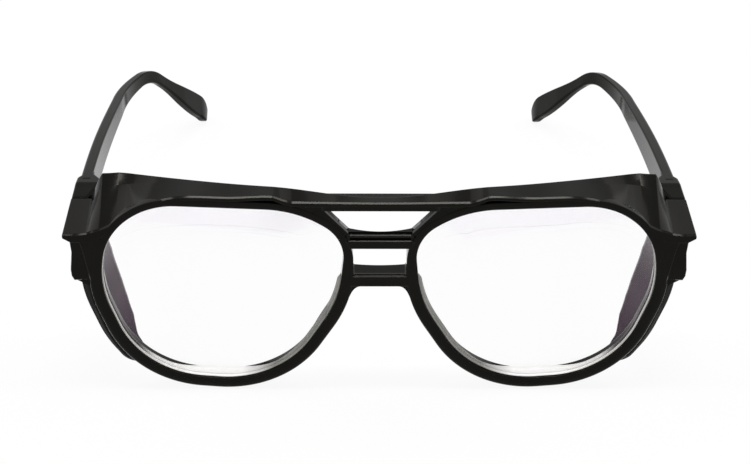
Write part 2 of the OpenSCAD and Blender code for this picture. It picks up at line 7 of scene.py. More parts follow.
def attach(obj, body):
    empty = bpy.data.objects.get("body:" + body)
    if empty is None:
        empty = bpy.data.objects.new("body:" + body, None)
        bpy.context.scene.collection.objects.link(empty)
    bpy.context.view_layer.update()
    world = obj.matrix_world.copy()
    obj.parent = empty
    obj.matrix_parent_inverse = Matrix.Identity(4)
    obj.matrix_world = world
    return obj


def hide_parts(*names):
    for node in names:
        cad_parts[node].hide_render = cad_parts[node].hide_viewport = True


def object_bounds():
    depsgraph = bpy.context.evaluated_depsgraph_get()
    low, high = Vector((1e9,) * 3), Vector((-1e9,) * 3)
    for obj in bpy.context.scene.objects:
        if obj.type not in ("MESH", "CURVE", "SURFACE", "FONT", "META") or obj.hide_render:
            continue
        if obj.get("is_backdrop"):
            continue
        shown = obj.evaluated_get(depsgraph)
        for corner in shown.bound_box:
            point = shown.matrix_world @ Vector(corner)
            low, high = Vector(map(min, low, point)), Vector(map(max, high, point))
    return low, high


# Safety glasses: finer meshes and finishes for the parts that show. Lengths are in millimetres, and y counts
# from the front of the rims until putPiece moves a mesh to its place.
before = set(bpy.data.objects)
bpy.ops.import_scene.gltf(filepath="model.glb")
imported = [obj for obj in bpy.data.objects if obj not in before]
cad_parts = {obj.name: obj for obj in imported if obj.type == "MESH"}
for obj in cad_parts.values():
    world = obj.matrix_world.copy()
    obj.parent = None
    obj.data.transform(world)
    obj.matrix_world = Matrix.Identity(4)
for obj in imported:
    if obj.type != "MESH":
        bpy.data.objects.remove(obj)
cadLow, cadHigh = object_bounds()
mm = 0.001
sides = {"left": 1, "right": -1}  # the wearer's left is +X
print("frame loaded:", len(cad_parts), "nodes")

# Measures that several pieces share, in millimetres, the same as in the part's source
lens = {"width": 57.5, "height": 50.0, "nose": 17.4, "thick": 2.2, "edge": 0.85, "front": 1.35}
rim = {"width": 3.0, "depth": 5.2}
shelf = {"over": 8.7, "z": 45.3, "thick": 2.1, "drop": 12.9, "seam": 11.6, "rise": 3.3, "block": 9.0}
frontY = cadLow[1] / mm
lensX = lens["nose"] / 2 + lens["width"] / 2
lensZ = rim["width"] + lens["height"] / 2
lensOut = lens["nose"] / 2 + lens["width"]
shelfX = lensOut + shelf["over"]
wallX, bodyX = shelfX - 1, shelfX - 2.2
blockTop = shelf["z"] + shelf["rise"]
endZ = shelf["z"] - shelf["drop"]
hingeX = shelfX - 7.3
bridge = {"arch": 31.1, "low": 34.0, "mid": 41.9, "midTop": 45.7, "top": 52.2, "topTop": 54.2}


# Shaping helpers
def unit(v):
    # v divided by its length, along the last axis
    return v / np.linalg.norm(v, axis=-1, keepdims=True)


def ease(a, b, x):
    # 3t^2 - 2t^3 with t = (x - a) / (b - a) held between 0 and 1
    t = np.clip((x - a) / (b - a), 0, 1)
    return t * t * (3 - 2 * t)


def atDepth(xz, y):
    # points x, y, z from x and z in the plane of the front and a depth y
    return np.stack([xz[..., 0], 0 * xz[..., 0] + y, xz[..., 1]], -1)


def skin(points, closedRows=False):
    # rings of points as one part: quads between neighbouring rings, with both ends filled unless the rings
    # close up
    rows, around = points.shape[:2]
    i, k = np.meshgrid(np.arange(rows if closedRows else rows - 1), np.arange(around), indexing="ij")
    j, n = (i + 1) % rows, (k + 1) % around
    quads = np.stack([i * around + k, i * around + n, j * around + n, j * around + k], -1).reshape(-1, 4)
    faces = quads.tolist()
    if not closedRows:
        faces += [list(range(around))[::-1], list(range((rows - 1) * around, rows * around))]
    return points.reshape(-1, 3), faces


def roundLoop(corners, cuts, steps=5, hold=0.02):
    # every corner q of a closed section becomes (1-t)^2 a + 2t(1-t) q + t^2 b, with a and b on its sides by
    # the cut away; one more point just before a and after b keeps the sides flat in the shading
    before, after = unit(np.roll(corners, 1, -2) - corners), unit(np.roll(corners, -1, -2) - corners)
    cut = np.broadcast_to(np.asarray(cuts, float), corners.shape[:-1])[..., None]
    a, b = (corners + before * cut)[..., None, :], (corners + after * cut)[..., None, :]
    t = np.linspace(0, 1, steps + 1)[:, None]
    q = corners[..., None, :]
    curve = (1 - t) ** 2 * a + 2 * t * (1 - t) * q + t ** 2 * b
    points = np.concatenate([a + before[..., None, :] * hold, curve, b + after[..., None, :] * hold], -2)
    return points.reshape(*corners.shape[:-2], -1, 2)


def outward(part):
    # turns a closed part's faces round where six times its volume, the sum of a . (b x c), is negative
    points, faces = np.asarray(part[0], float).reshape(-1, 3), part[1]
    fans = [(face[0], b, c) for face in faces for b, c in zip(face[1:], face[2:])]
    a, b, c = (points[list(k)] for k in zip(*fans))
    volume = (a * np.cross(b, c)).sum()
    return points, faces if volume > 0 else [face[::-1] for face in faces]


def merged(parts):
    # several point and face lists as one
    points, faces, start = [], [], 0
    for p, f in map(outward, parts):
        points.append(p)
        faces += [[n + start for n in face] for face in f]
        start += len(p)
    return np.concatenate(points), faces


def mirrored(part):
    # x becomes -x, and each face turns round so that it still points out
    points, faces = part
    return points.reshape(-1, 3) * [-1, 1, 1], [face[::-1] for face in faces]


def prism(outline, top, low):
    # an outline in x and y carried down from z = top to z = low(y)
    n = len(outline)
    x, y = outline.T
    points = np.concatenate([np.stack([x, y, 0 * y + top], -1), np.stack([x, y, low(y)], -1)])
    faces = [list(range(n)), list(range(n, 2 * n))[::-1]]
    faces += [[(k + 1) % n, k, k + n, (k + 1) % n + n] for k in range(n)]
    return points, faces


def putPiece(name, part, body, material, nodes=(), bevel=0.0, flip=1):
    # makes a mesh of the part in metres, on its body and in place of its CAD nodes
    points, faces = mirrored(part) if flip < 0 else part
    mesh = bpy.data.meshes.new(name)
    placed = (np.asarray(points, float).reshape(-1, 3) + [0, frontY, 0]) * mm
    mesh.from_pydata(placed.tolist(), [], faces)
    mesh.validate()
    mesh.polygons.foreach_set("use_smooth", np.ones(len(mesh.polygons), bool))
    piece = bpy.data.objects.new(name, mesh)
    bpy.context.scene.collection.objects.link(piece)
    if bevel:
        cut = piece.modifiers.new("edges", "BEVEL")
        cut.width, cut.segments, cut.limit_method, cut.angle_limit = bevel * mm, 3, "ANGLE", 0.45
        cut.harden_normals = True
    mesh.materials.append(material)
    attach(piece, body)
    if nodes:
        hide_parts(*nodes)


# Shader helpers
class Wire:
    # a shader value; arithmetic on it adds Math nodes
    def __init__(self, paint, socket):
        self.paint, self.socket = paint, socket

    def maths(self, kind, a, b):
        return self.paint.node("ShaderNodeMath", {"operation": kind}, {0: a, 1: b})

    def __add__(self, other):
        return self.maths("ADD", self, other)

    def __radd__(self, other):
        return self.maths("ADD", other, self)

    def __sub__(self, other):
        return self.maths("SUBTRACT", self, other)

    def __rsub__(self, other):
        return self.maths("SUBTRACT", other, self)

    def __mul__(self, other):
        return self.maths("MULTIPLY", self, other)

    def __rmul__(self, other):
        return self.maths("MULTIPLY", other, self)

    def __pow__(self, other):
        return self.maths("POWER", self, other)


class Paint:
    # one material and its nodes
    def __init__(self, name, owner=None):
        self.made = owner or bpy.data.materials.new(name)
        self.made.use_nodes = True
        self.tree = self.made.node_tree
        self.tree.nodes.clear()

    def node(self, kind, settings=None, inputs=None, output=0):
        made = self.tree.nodes.new(kind)
        for key, value in (settings or {}).items():
            setattr(made, key, value)
        for key, value in (inputs or {}).items():
            if isinstance(value, Wire):
                self.tree.links.new(value.socket, made.inputs[key])
            else:
                made.inputs[key].default_value = value
        return Wire(self, made.outputs[output]) if made.outputs else made

    def place(self):
        return self.node("ShaderNodeTexCoord", output="Object")

    def axis(self, which):
        # x, y or z of the surface point in millimetres
        return self.node("ShaderNodeSeparateXYZ", None, {0: self.place()}, output=which) * (1 / mm)

    def held(self, value):
        # the value kept between 0 and 1
        return self.node("ShaderNodeMath", {"operation": "ADD", "use_clamp": True}, {0: value, 1: 0.0})

    def noise(self, scale, detail=3.0, rough=0.5):
        return self.node("ShaderNodeTexNoise", None,
                         {"Vector": self.place(), "Scale": scale, "Detail": detail, "Roughness": rough})

    def blend(self, factor, a, b):
        return self.node("ShaderNodeMix", {"data_type": "RGBA"}, {0: factor, 6: a, 7: b}, output=2)

    def bump(self, height, depth):
        return self.node("ShaderNodeBump", None, {"Strength": 1.0, "Distance": depth * mm, "Height": height})

    def finish(self, shader):
        kind = "Material" if isinstance(self.made, bpy.types.Material) else "World"
        self.node("ShaderNodeOutput" + kind, None, {"Surface": shader})
        return self.made


# Colours are linear RGB; grain, haze and ripples are noise scales, and ripple is a height in millimetres
blackPlastic = {"dark": (0.0028, 0.0028, 0.0031, 1), "worn": (0.0068, 0.0066, 0.0056, 1),
                "tint": (1, 0.96, 0.87, 1), "specular": 0.08, "rough": 0.1, "roughSpread": 0.08, "coat": 1.0,
                "ripple": 0.008, "grain": 160, "haze": 45, "ripples": 420}
armPlastic = dict(blackPlastic, worn=(0.0105, 0.0108, 0.0082, 1), specular=0.02, coat=0.35)
# the shield turns a lighter violet more than insideY mm behind the front
shieldPlastic = dict(blackPlastic, inside=(0.058, 0.037, 0.053, 1), insideY=8, rough=0.2, coat=1.6,
                     ripple=0.001)


def makeBlackPlastic(name, looks):
    # polished plastic: base = dark + (worn - dark) noise, which turns to a lighter violet, inside, on the
    # parts further back, by 0.3 (y - insideY) held between 0 and 1, roughness = rough + roughSpread noise,
    # polish coat = coat facing^4 with facing 0 head-on and 1 at the edge, and fine ripples as bump
    paint = Paint(name)
    mottle = paint.noise(looks["grain"], 4)
    haze = paint.noise(looks["haze"], 2)
    ripple = paint.noise(looks["ripples"], 2)
    edgeOn = paint.node("ShaderNodeLayerWeight", None, {"Blend": 0.5}, output=1)
    base = paint.blend(mottle, looks["dark"], looks["worn"])
    if "inside" in looks:
        behind = paint.held((paint.axis(1) - (frontY + looks["insideY"])) * 0.3)
        base = paint.blend(behind, base, looks["inside"])
    return paint.finish(paint.node("ShaderNodeBsdfPrincipled", None, {
        "Base Color": base,
        "Roughness": looks["rough"] + looks["roughSpread"] * haze,
        "Specular IOR Level": looks["specular"],
        "Coat Weight": looks["coat"] * edgeOn ** 4.0,
        "Coat Roughness": looks["rough"],
        "Specular Tint": looks["tint"],
        "Normal": paint.bump(ripple, looks["ripple"]),
    }))


lensLooks = {"clear": (0.99, 0.99, 0.99, 1), "sheen": (0.96, 0.93, 0.99, 1), "rough": 0.03,
             "index": 1.35, "headOn": 0.03, "share": 0.3, "smear": 0.25}


def makeClearLens(name, looks):
    # clear sheet: light goes through, and (Fresnel - headOn, not below 0) x (share + smear noise) of it comes
    # back with the coating's violet tint; nothing comes back head-on
    paint = Paint(name)
    smear = paint.noise(60, 2)
    through = paint.node("ShaderNodeBsdfTransparent", None, {"Color": looks["clear"]})
    back = paint.node("ShaderNodeBsdfGlossy", None, {"Color": looks["sheen"], "Roughness": looks["rough"]})
    fresnel = paint.node("ShaderNodeFresnel", None, {"IOR": looks["index"]})
    share = paint.held(fresnel - looks["headOn"]) * (looks["share"] + looks["smear"] * smear)
    return paint.finish(paint.node("ShaderNodeMixShader", None, {0: share, 1: through, 2: back}))


brightSteel = {"light": (0.62, 0.61, 0.58, 1), "dull": (0.34, 0.33, 0.31, 1),
               "rough": 0.22, "roughSpread": 0.2, "scratch": 0.01}
darkSteel = dict(brightSteel, light=(0.2, 0.19, 0.205, 1), dull=(0.1, 0.095, 0.105, 1))


def makeMetal(name, looks, grain):
    # turned steel: base = light + (dull - light) noise, roughness = rough + roughSpread noise, and the same
    # noise as bump
    paint = Paint(name)
    fine = paint.noise(grain, 5, 0.6)
    return paint.finish(paint.node("ShaderNodeBsdfPrincipled", None, {
        "Base Color": paint.blend(fine, looks["light"], looks["dull"]),
        "Metallic": 1.0,
        "Roughness": looks["rough"] + looks["roughSpread"] * fine,
        "Normal": paint.bump(fine, looks["scratch"]),
    }))


# tones and glow strength of the lens strip's painted reflection of the bright background
paintedGlowLooks = {"milk": (0.93, 0.92, 0.88, 1), "white": (0.98, 0.98, 0.97, 1),
                "olive": (0.088, 0.086, 0.069, 1), "beige": (0.2, 0.19, 0.17, 1),
                "shade": (0.05, 0.044, 0.046, 1), "rough": 0.3, "specular": 0.1, "glow": 0.45,
                "noseX": 34, "sideX": 46, "shadeX": 55.5, "shadeY": 1.95}


def makePaintedWallGlow(name, looks):
    # clear strip in the lens seat; its colour is a painted reflection of the bright background, and it glows
    # with that tone though it is no lamp. With s() held between 0 and 1, the clouded white of the painted
    # reflection turns olive by s(0.12 (noseX - |x|)) (0.7 + 0.3 noise), then beige by 0.7 s(0.07 (|x| -
    # sideX)), then to the shield's dark tone, shade, by s(0.3 (|x| - shadeX)) s(8 (y - shadeY))
    paint = Paint(name)
    size = paint.node("ShaderNodeMath", {"operation": "ABSOLUTE"}, {0: paint.axis(0)})
    deep = paint.held((paint.axis(1) - (frontY + looks["shadeY"])) * 8)
    cloud = paint.noise(90, 3)
    plain = paint.blend(cloud, looks["milk"], looks["white"])
    near = paint.held((looks["noseX"] - size) * 0.12) * (0.7 + 0.3 * cloud)
    nose = paint.blend(near, plain, looks["olive"])
    side = paint.blend(paint.held((size - looks["sideX"]) * 0.07) * 0.7, nose, looks["beige"])
    tone = paint.blend(paint.held((size - looks["shadeX"]) * 0.3) * deep, side, looks["shade"])
    return paint.finish(paint.node("ShaderNodeBsdfPrincipled", None, {
        "Base Color": tone,
        "Roughness": looks["rough"],
        "Specular IOR Level": looks["specular"],
        # painted glow: the strip shines with its painted reflection tone though it is no lamp
        "Emission Color": tone,
        "Emission Strength": looks["glow"],
    }))


frameBlack = makeBlackPlastic("frame black", blackPlastic)
armBlack = makeBlackPlastic("arm black", armPlastic)
shieldBlack = makeBlackPlastic("shield black", shieldPlastic)
clearLens = makeClearLens("clear lens", lensLooks)
hingeSteel = makeMetal("hinge steel", darkSteel, 2200)
screwSteel = makeMetal("screw steel", brightSteel, 3500)
rivetSteel = makeMetal("rivet steel", darkSteel, 2800)
coreWire = makeMetal("core wire", brightSteel, 1800)
paintedWallGlow = makePaintedWallGlow("lens wall painted glow", paintedGlowLooks)
print("materials ready")

# Lens outline: the corners of one lens opening about its middle, each with x, z and a radius
lensCorners = np.array([[-17.4, 24, 26], [25.8, 25.8, 17.5], [29.6, 2.7, 28.5], [21, -23, 23],
                        [-13, -26, 24], [-27.5, -1.7, 33], [-29.3, 16.2, 10.5]])


def lensOutline(offset, steps=24):
    # straight sides moved out by offset, joined by arcs c + (r + offset)(cos a, sin a)
    spots, radii = lensCorners[:, :2], lensCorners[:, 2] + offset
    along = unit(np.roll(spots, -1, 0) - spots)
    out = np.stack([-along[:, 1], along[:, 0]], -1)
    u, v = np.roll(along, 1, 0), along
    a, b = np.roll(spots + out * offset, 1, 0), spots + out * offset
    cross = lambda p, q: p[:, 0] * q[:, 1] - p[:, 1] * q[:, 0]
    q = a + u * (cross(b - a, v) / cross(u, v))[:, None]
    half = np.arccos(np.clip((-u * v).sum(-1), -1, 1)) / 2
    centre = q + unit(v - u) * (radii / np.sin(half))[:, None]
    start = q - u * (radii / np.tan(half))[:, None] - centre
    first, sweep = np.arctan2(start[:, 1], start[:, 0])[:, None], (np.pi - 2 * half)[:, None]
    angle = first - sweep * np.linspace(0, 1, steps + 1)
    points = centre[:, None] + radii[:, None, None] * np.stack([np.cos(angle), np.sin(angle)], -1)
    return points.reshape(-1, 2) + [lensX, lensZ]


def evenOutline(count):
    # the outline at equal steps along its length, and the outward direction at each point
    base, grown = lensOutline(0), lensOutline(1)
    loop, out = np.concatenate([base, base[:1]]), np.concatenate([grown - base, (grown - base)[:1]])
    run = np.concatenate([[0], np.cumsum(np.linalg.norm(np.diff(loop, axis=0), axis=1))])
    at = np.linspace(0, run[-1], count, endpoint=False)

    def pick(values):
        return np.stack([np.interp(at, run, values[:, k]) for k in range(2)], -1)

    return pick(loop), unit(pick(out))


lensBase, lensNormal = evenOutline(360)
lensTop = lensOutline(0)
lensTop = lensTop[lensTop[:, 1] > lensZ]
lensTop = lensTop[np.argsort(lensTop[:, 0])]

# Upper edge of the front: x where the level bar ends, how far the band stands over a lens and dips, how long
# the kink is, and the x from which and to which it falls to the shelf
relief = 20.7
brow = {"over": 3.8, "innerDip": 0.85, "outerDip": 1.6, "kink": 4.4,
        "downX": lensOut - 6.2, "flatX": lensOut + 6.3}


def browBand(x):
    # the band's top over a lens: the lens outline + over, less two dips that set in along x
    high = np.interp(x, lensTop[:, 0], lensTop[:, 1]) + brow["over"]
    inner, outer = ease(relief + 4, relief + 16, x), ease(lensX + 5, lensX + 20, x)
    return high - brow["innerDip"] * inner - brow["outerDip"] * outer


def faceTop(x):
    # level bar at the bridge, a kink up to the band over the lens, then down to the shelf as (1 - t)^2
    x = np.abs(x)
    bar = bridge["topTop"] + (browBand(x) - bridge["topTop"]) * np.clip((x - relief) / brow["kink"], 0, 1)
    start, flat = brow["downX"], brow["flatX"]
    fall = np.clip((x - start) / (flat - start), 0, 1)
    down = shelf["z"] + (browBand(start) - shelf["z"]) * (1 - fall) ** 2
    return np.where(x < start, bar, down)


# Rims
rimLooks = {"low": 1.1, "high": 0.45, "power": 2.6, "back": 0.5, "narrow": 1.9}


def makeRim():
    # section round the lens outline: with d across its width w, the front is
    # y = crown (1 - (1 - |2d/w - 1|^p)^(1/p)); the sides are flat and the back edges quarter circles
    up = ease(2, 18, lensBase[:, 1] - lensZ)[:, None]
    width = rim["width"] + (rimLooks["narrow"] - rim["width"]) * up
    middle = ease(-14, 2, lensBase[:, 1] - lensZ)[:, None]
    crown = rimLooks["low"] + (rimLooks["high"] - rimLooks["low"]) * middle
    t = np.sin(np.linspace(-1, 1, 21) * np.pi / 2)[None]
    frontD = (t + 1) / 2 * width
    frontYs = crown * (1 - (1 - np.abs(t) ** rimLooks["power"]) ** (1 / rimLooks["power"])) + 0 * width
    back = rimLooks["back"]
    angle = np.linspace(0, np.pi / 2, 5)[None]
    outerD = width - back + back * np.cos(angle)
    outerY = rim["depth"] - back + back * np.sin(angle) + 0 * width
    innerD = back - back * np.sin(angle) + 0 * width
    innerY = rim["depth"] - back + back * np.cos(angle) + 0 * width
    d = np.concatenate([frontD, outerD, innerD], 1)
    y = np.concatenate([frontYs, outerY, innerY], 1)
    xz = lensBase[:, None] + lensNormal[:, None] * d[..., None]
    return skin(atDepth(xz, y), closedRows=True)


strip = {"thick": 0.14, "noseZ": 32.8, "outerZ": 43.0, "front": (1.0, 1.85), "back": (2.1, 5.0),
         "seat": 0.55, "noseCut": 1.9, "outerCut": 1.7}


def makeStrip():
    # two thin bands on the wall of the lens opening, from the nose side round the bottom to the outer side;
    # the rear edge of the back one stands in by seat at the nose, and comes forward by cut there and outside
    turn = np.arctan2(lensBase[:, 0] - lensX, lensZ - lensBase[:, 1])
    keep = np.where(lensBase[:, 1] < np.where(lensBase[:, 0] < lensX, strip["noseZ"], strip["outerZ"]))[0]
    keep = keep[np.argsort(turn[keep])]
    base, out = lensBase[keep], lensNormal[keep]
    x, z = base[:, :1], base[:, 1:]
    seat = strip["seat"] * ease(lensX - 12, lensX - 20, x) * ease(strip["noseZ"], strip["noseZ"] - 1.5, z)
    cut = strip["noseCut"] * ease(lensX - 1, lensX - 12, x)
    cut = cut + strip["outerCut"] * ease(lensX + 4, lensX + 15, x)
    parts = []
    for (near, far), rear in ((strip["front"], [0, 0, 0, 0]), (strip["back"], [0, 1, 1, 0])):
        d = np.array([-1, -1, 0.3, 0.3]) * strip["thick"] - seat * rear
        xz = base[:, None] + out[:, None] * d[..., None]
        y = np.array([near, far, far, near]) - cut * rear
        parts.append(skin(atDepth(xz, y)))
    return merged(parts)


# Bridge bars
def alongX(x, corners, cuts):
    # a y, z section with rounded corners at each station x
    section = roundLoop(corners, cuts)
    return skin(np.concatenate([np.broadcast_to(x[:, None, None], section.shape[:2] + (1,)), section], -1))


def makeBars():
    # top bar, middle bar with its ridge and groove, low bar; corners are y and z, and the back ones, with a
    # depth in deep, curve as depth + rise (x / reach)^2
    def bar(reach, corners, cuts, deep, rise):
        x = np.linspace(-reach, reach, 15)
        curve = rise * (x / reach) ** 2
        section = np.array(corners, float)[None] + 0 * x[:, None, None]
        for k, depth in deep.items():
            section[:, k, 0] = depth + curve
        return alongX(x, section, cuts)

    topLow, topHigh = bridge["top"] - 0.3, bridge["topTop"] - 0.5
    top = bar(14, [[0.1, topLow], [0, topLow], [0, topHigh], [0.1, topHigh]],
              [0.3, 0.3, 0.2, 0.1], {1: 3.1, 2: 3.1}, 0.6)
    mid, midTop = bridge["mid"], bridge["midTop"]
    middle = bar(8.3, [[0.02, mid - 0.35], [0.02, mid + 1.72], [0.74, mid + 2.15], [0.95, mid + 2.32],
                       [0.3, mid + 2.6], [0.2, midTop - 0.6], [1.2, midTop], [0, midTop], [0, mid - 0.35]],
                 [0.2, 0.05, 0.05, 0.1, 0.08, 0.05, 0.05, 0.1, 0.4], {7: 1.4, 8: 1.9}, 1.9)
    arch, lowTop = bridge["arch"] - 0.4, bridge["low"]
    low = bar(8.4, [[0.05, arch], [0.05, lowTop - 0.5], [0.85, lowTop - 0.02], [1.3, lowTop - 0.1],
                    [0, lowTop], [0, arch]],
              [0.5, 0.06, 0.06, 0.3, 0.35, 0.5], {4: 4.9, 5: 5.2}, 0.9)
    return [top, middle, low]


def makeStrut(a, b, reach):
    # a slim bar with two bevelled steps on its window side, along the line from a to b in x and z
    a, b = np.array(a, float), np.array(b, float)
    along = unit(b - a)
    side = np.array([along[1], -along[0]])
    corners = np.array([[0, 1.5], [0.28, 1.0], [0.85, 0.95], [1.13, 0.45], [1.3, 0.3], [2.4, 0.3],
                        [2.4, 3.1], [0, 3.1]])
    section = roundLoop(corners, [0.1, 0.1, 0.08, 0.08, 0.08, 0.1, 0.1, 0.1], 3)
    ends = np.stack([a - along * reach, b + along * reach])
    xz = ends[:, None] + side * section[None, :, :1]
    return skin(atDepth(xz, section[:, 1]))


def platePoints(loops, near, far):
    # a flat plate with holes: the first loop is its edge; near and far give the depth at each point
    tri = np.array(tessellate_polygon([np.pad(loop, ((0, 0), (0, 1))).tolist() for loop in loops]))
    flat = np.concatenate(loops)
    n = len(flat)
    points = np.concatenate([atDepth(flat, depth(flat)) for depth in (near, far)])
    u, v = flat[tri[:, 1]] - flat[tri[:, 0]], flat[tri[:, 2]] - flat[tri[:, 0]]
    turn = u[:, 0] * v[:, 1] - u[:, 1] * v[:, 0]
    tri[turn < 0] = tri[turn < 0][:, ::-1]
    faces = tri.tolist() + (tri[:, ::-1] + n).tolist()
    start = 0
    for k, loop in enumerate(loops):
        after = np.roll(loop, -1, 0)
        turns = (loop[:, 0] * after[:, 1] - loop[:, 1] * after[:, 0]).sum() > 0
        i = np.arange(len(loop)) + start
        j = np.roll(i, -1)
        quads = np.stack([i, i + n, j + n, j], -1)
        faces += (quads if turns == (k == 0) else quads[:, ::-1]).tolist()
        start += len(loop)
    return points, faces


def bridgeWeb():
    # the plate behind the bars: one opening, which the bars part into two windows
    nose = lensBase + lensNormal * 1.2
    keep = (nose[:, 0] < relief + 1) & (nose[:, 1] > bridge["arch"] - 3.4)
    nose = nose[keep]
    nose = nose[np.argsort(np.arctan2(nose[:, 1] - lensZ, -(nose[:, 0] - lensX)))]
    t = np.linspace(0, 1, 9)[:, None]
    a, q, b = np.array([[4.6, -0.4], [6.2, -0.4], [7.2, -3.3]]) + [0, bridge["arch"]]
    corner = (1 - t) ** 2 * a + 2 * t * (1 - t) * q + t ** 2 * b
    right = np.concatenate([corner, nose, [[relief + 1, bridge["topTop"] - 0.3]]])
    loop = np.concatenate([right, (right * [-1, 1])[::-1]])
    hole = np.array([[5.7, bridge["low"] - 0.5], [6.3, bridge["low"] + 0.3], [6.9, bridge["mid"] - 0.1],
                     [7.3, bridge["midTop"] - 0.3], [13.7, bridge["top"] + 0.2]])
    near = lambda p: 0 * p[:, 0] + 0.32

    def far(p):
        # thin behind the upper window, deep behind the arch
        upper = 1.3 + 1.9 * np.minimum(1, (p[:, 0] / 8.3) ** 2) + 0.3 * np.maximum(0, np.abs(p[:, 0]) - 13)
        return np.minimum(rim["depth"] - 0.1, np.where(p[:, 1] > 39, upper, 4.8 + p[:, 0] ** 2 / 90))

    return platePoints([loop, np.concatenate([hole, (hole * [-1, 1])[::-1]])], near, far)


# Brow guard and shelf, one sheet from end to end
browGuard = {"middle": 3.0, "corner": 11.6, "thick": 2.0, "over": 3.1,
             "roundX": lensOut - 4.2, "cornerX": lensOut - 0.4, "endX": lensOut + 2.9}


def guardBack(x):
    # back edge: y grows as |x|^1.8 to the corner, z follows the brow and then falls as over^1.25 to the shelf
    x = np.abs(x)
    g = browGuard
    y = g["middle"] + (g["corner"] - g["middle"]) * (np.minimum(x, g["roundX"]) / g["roundX"]) ** 1.8
    high = lensZ + lens["height"] / 2 + g["over"]
    z = bridge["topTop"] + (high - bridge["topTop"]) * ease(2, relief + 5, x)
    over = np.clip((x - g["cornerX"]) / (g["endX"] - g["cornerX"]), 0, 1)
    z = z - (high - blockTop) * over ** 1.25 - 0.35 * ease(g["roundX"] - 3, g["cornerX"], x) * (1 - over)
    return y, np.maximum(z, shelf["z"] + shelf["rise"] * y / shelf["seam"])


def makeGuard():
    # rounded section at each x: bevelled front lip, straight top, back edge and underside; the outer end
    # leans in with the arm
    half = np.concatenate([np.arange(0, relief - 0.2, 1.0), relief + np.array([-0.1, 0.1, 2, 4.3, 4.5]),
                           np.arange(26, 58, 1.0), np.linspace(58, 72, 71),
                           np.linspace(72.3, shelfX - 0.1, 10), [shelfX - 0.03, shelfX]])
    x = np.concatenate([-half[:0:-1], half])
    size = np.abs(x)
    f = faceTop(x)
    by, bz = guardBack(x)
    t = browGuard["thick"]
    out = ease(lensOut - 3, lensOut + 2, size)
    under = shelf["z"] - shelf["thick"] + 1.2 * np.clip((size - wallX + 0.9) / 1.9, 0, 1)
    lowBack = (bz - t) * (1 - out) + under * out
    lowFront = (f - t) * (1 - out) + under * out
    tuck = 0.3 * ease(shelfX - 0.1, shelfX, size)
    rise = (bz - f) / (by - 0.1)
    topY = by * 0.8
    topZ = f + rise * (topY - 0.1)
    corner = lambda y, z: np.stack([y + 0 * x, z], -1)
    lip = f + 0.5 * np.minimum(rise, 0.45) - tuck
    foot = (f - 1.1) * (1 - out) + under * out + tuck
    corners = np.stack([corner(0.06 + tuck, lip - 0.335), corner(0.62 + tuck, lip),
                        corner(topY, topZ - tuck), corner(by - tuck, bz - tuck),
                        corner(by - tuck, lowBack + tuck), corner(1.5, lowFront + tuck),
                        corner(0.06 + tuck, foot)], 1)
    cuts = np.array([0.08, 0.08, 0.9, 0.45, 0.4, 0.4, 0.3]) + 0 * x[:, None]
    cuts[:, 2], cuts[:, 3] = np.minimum(0.9, by * 0.07), np.minimum(0.45, by * 0.08)
    section = roundLoop(corners, cuts, 6)
    lean = np.sign(x)[:, None] * ease(lensOut + 2, shelfX, size)[:, None] * section[..., 0] / shelf["seam"]
    return skin(np.concatenate([(x[:, None] - lean)[..., None], section], -1))


# End pieces
def endPieces():
    # body under the shelf, the face and panel in front of it with sloped edges, and a foot below them
    seam = shelf["seam"]
    under = shelf["z"] - shelf["thick"]
    start = lensOut + 0.4
    low = lambda y: endZ + (blockTop - shelf["block"] - endZ) * np.clip((y - 5) / (seam - 5), 0, 1)
    outer = lambda y: bodyX + (wallX - bodyX) * y / seam
    outline = np.array([[start, 1.3], [outer(1.3), 1.3], [outer(5), 5], [wallX, seam], [hingeX + 2.6, seam],
                        [hingeX - 0.3, seam - 2.9], [start, seam - 2.9], [start, 5]])
    body = prism(outline[::-1], under + 0.5, low)

    def slab(outline, slope, near, deep, far):
        # outline in x, z; the points with a slope move out by it between near and deep
        outline, slope = np.asarray(outline, float), np.asarray(slope, float)
        return skin(np.stack([atDepth(outline, near), atDepth(outline + slope, deep),
                              atDepth(outline + slope, far)]))

    # the face runs along the rim, between its middle and the panel
    along = lensBase + lensNormal * 1.2
    along = along[(along[:, 0] > lensX + 18) & (along[:, 1] > 22) & (along[:, 1] < 44.5)]
    along = along[np.argsort(along[:, 1])]
    edge = np.array([[70.9, 44.2], [70.7, 43.0], [70.2, 41], [68.9, 32.6], [68.5, 30.0], [67.9, 27.6],
                     [67.0, 25.0]])
    facePoints = np.concatenate([along, edge])
    slope = np.concatenate([0 * along, np.tile([0.34, 0.0], (len(edge), 1))])
    face = slab(facePoints, slope, 0.08, 0.42, rim["depth"])
    panel = slab([[68, under + 0.6], [68, endZ + 0.2], [wallX - 0.9, endZ - 0.1], [wallX - 0.4, endZ + 1.0],
                  [wallX - 0.3, endZ + 2.6], [bodyX + 0.35, endZ + 7.6], [bodyX + 0.6, under + 0.6]],
                 [[0, 0], [0, -0.3], [0, -0.3], [0.1, -0.1], [0.12, 0], [0.1, 0], [0.1, 0]],
                 0.82, 1.12, rim["depth"])
    foot = slab([[66.4, endZ + 1], [66.4, endZ - 3.8], [68.6, endZ - 3.3], [70.3, endZ - 2.0],
                 [wallX - 1.7, endZ - 0.9], [wallX - 0.6, endZ - 0.2], [wallX - 0.5, endZ + 1]],
                [[0, 0]] * 7, 1.7, 2.0, rim["depth"])
    return [body, face, panel, foot]


